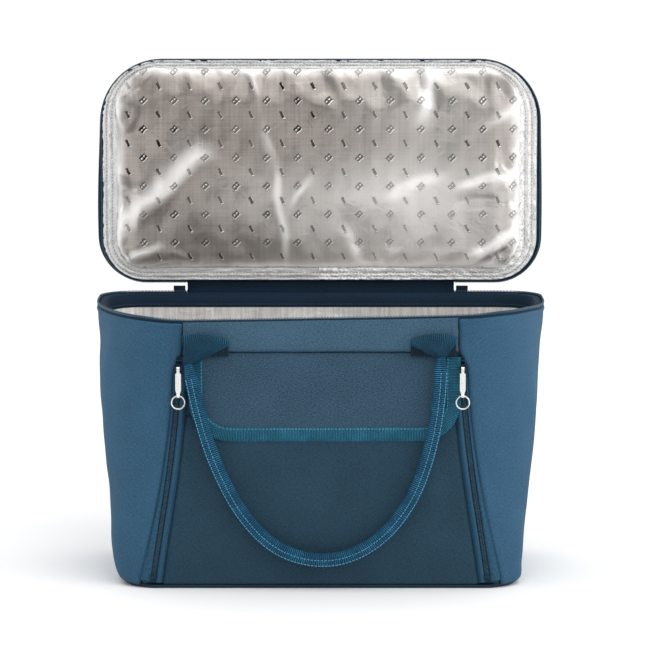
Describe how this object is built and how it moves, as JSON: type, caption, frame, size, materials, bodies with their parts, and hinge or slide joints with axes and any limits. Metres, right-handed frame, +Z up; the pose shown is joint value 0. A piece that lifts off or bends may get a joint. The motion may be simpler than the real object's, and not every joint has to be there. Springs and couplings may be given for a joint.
{
  "type": "insulated cooler bag",
  "caption": "Soft tote-shaped cooler bag with an open zipped lid lined in foil, a flapped front pocket between slanted zips, and webbing handles front and back.",
  "frame": {"origin": "on the floor under the middle of the whole bag, lid open", "axes": "+Z up, the pocket side faces -Y, +X to the right as seen from the front"},
  "size_m": [0.4142, 0.248, 0.4626],
  "materials": {
    "shell_fabric": "woven polyester, matt",
    "pocket_fabric": "woven polyester, matt",
    "navy_fabric": "woven polyester, matt",
    "webbing": "ribbed polypropylene webbing",
    "zip_tape": "woven tape",
    "zip_coil": "nylon coil",
    "foam": "closed-cell polyethylene foam",
    "board": "polypropylene sheet",
    "foil": "aluminised film, glossy and creased",
    "metal": "nickel plated zinc"
  },
  "bodies": {
    "bag": {"base_panel": "shell_fabric", "front_panel": "shell_fabric", "back_panel": "shell_fabric", "left_side_panel": "shell_fabric", "right_side_panel": "shell_fabric", "front_foam": "foam", "back_foam": "foam", "left_foam": "foam", "right_foam": "foam", "base_board": "board", "base_foam": "foam", "liner_tub": "foil", "rim_band": "navy_fabric", "rim_zip_lower_tape": "zip_tape", "rim_zip_lower_teeth": "zip_coil", "lid_hinge_strip": "navy_fabric", "pocket_panel": "pocket_fabric", "pocket_gusset_right": "shell_fabric", "pocket_gusset_left": "shell_fabric", "pocket_zip_tape_right": "zip_tape", "pocket_zip_tape_left": "zip_tape", "pocket_zip_teeth_right": "zip_coil", "pocket_zip_teeth_left": "zip_coil", "pocket_zip_stops": "metal", "front_band": "pocket_fabric", "rear_band": "shell_fabric", "front_handle_anchors": "webbing", "rear_handle_anchors": "webbing"},
    "lid": {"lid_top_panel": "shell_fabric", "lid_foam": "foam", "lid_edge_band": "navy_fabric", "lid_binding": "foil", "lid_liner": "foil", "rim_zip_upper_tape": "zip_tape", "rim_zip_upper_teeth": "zip_coil"},
    "flap": {"pocket_flap": "pocket_fabric", "flap_binding": "webbing"},
    "front_grip": {"front_handle": "webbing"},
    "rear_grip": {"rear_handle": "webbing"},
    "pocket_slider_right": {"pocket_slider_right": "metal"},
    "pocket_pull_right": {"pocket_pull_right": "metal"},
    "pull_ring_right": {"pull_ring_right": "metal"},
    "rim_slider_right": {"rim_slider_right": "metal"},
    "rim_pull_right": {"rim_pull_right": "metal"},
    "pocket_slider_left": {"pocket_slider_left": "metal"},
    "pocket_pull_left": {"pocket_pull_left": "metal"},
    "pull_ring_left": {"pull_ring_left": "metal"},
    "rim_slider_left": {"rim_slider_left": "metal"},
    "rim_pull_left": {"rim_pull_left": "metal"}
  },
  "joints": [
    {"name": "lid_hinge", "type": "hinge", "parent": "bag", "child": "lid", "pos_m": [0, 0.106, 0.25], "axis": [1, 0, 0], "range_deg": [-110, 90]},
    {"name": "front_handle_swing", "type": "hinge", "parent": "bag", "child": "front_grip", "pos_m": [0, -0.117, 0.226], "axis": [-1, 0, 0], "range_deg": [0, 180]},
    {"name": "rear_handle_swing", "type": "hinge", "parent": "bag", "child": "rear_grip", "pos_m": [0, 0.117, 0.226], "axis": [1, 0, 0], "range_deg": [0, 180]},
    {"name": "pocket_flap_lift", "type": "hinge", "parent": "bag", "child": "flap", "pos_m": [0, -0.111, 0.2114], "axis": [-1, 0, 0], "range_deg": [0, 3.2]},
    {"name": "pocket_slider_right_run", "type": "slide", "parent": "bag", "child": "pocket_slider_right", "axis": [0.1219, 0, -0.9925], "range_m": [0, 0.155]},
    {"name": "pocket_pull_right_swing", "type": "hinge", "parent": "pocket_slider_right", "child": "pocket_pull_right", "pos_m": [0.12522, -0.116, 0.1975], "axis": [-1, 0, 0], "range_deg": [0, 120]},
    {"name": "pull_ring_right_swing", "type": "hinge", "parent": "pocket_pull_right", "child": "pull_ring_right", "pos_m": [0.12522, -0.116, 0.1735], "axis": [-1, 0, 0], "range_deg": [0, 60]},
    {"name": "rim_slider_right_run", "type": "slide", "parent": "bag", "child": "rim_slider_right", "axis": [1, 0, 0], "range_m": [0, 0.023]},
    {"name": "rim_pull_right_swing", "type": "hinge", "parent": "rim_slider_right", "child": "rim_pull_right", "pos_m": [0.132, 0.1112, 0.2424], "axis": [1, 0, 0], "range_deg": [0, 100]},
    {"name": "pocket_slider_left_run", "type": "slide", "parent": "bag", "child": "pocket_slider_left", "axis": [-0.1219, 0, -0.9925], "range_m": [0, 0.155]},
    {"name": "pocket_pull_left_swing", "type": "hinge", "parent": "pocket_slider_left", "child": "pocket_pull_left", "pos_m": [-0.12522, -0.116, 0.1975], "axis": [-1, 0, 0], "range_deg": [0, 120]},
    {"name": "pull_ring_left_swing", "type": "hinge", "parent": "pocket_pull_left", "child": "pull_ring_left", "pos_m": [-0.12522, -0.116, 0.1735], "axis": [-1, 0, 0], "range_deg": [0, 60]},
    {"name": "rim_slider_left_run", "type": "slide", "parent": "bag", "child": "rim_slider_left", "axis": [-1, 0, 0], "range_m": [0, 0.023]},
    {"name": "rim_pull_left_swing", "type": "hinge", "parent": "rim_slider_left", "child": "rim_pull_left", "pos_m": [-0.132, 0.1112, 0.2424], "axis": [1, 0, 0], "range_deg": [0, 100]}
  ]
}
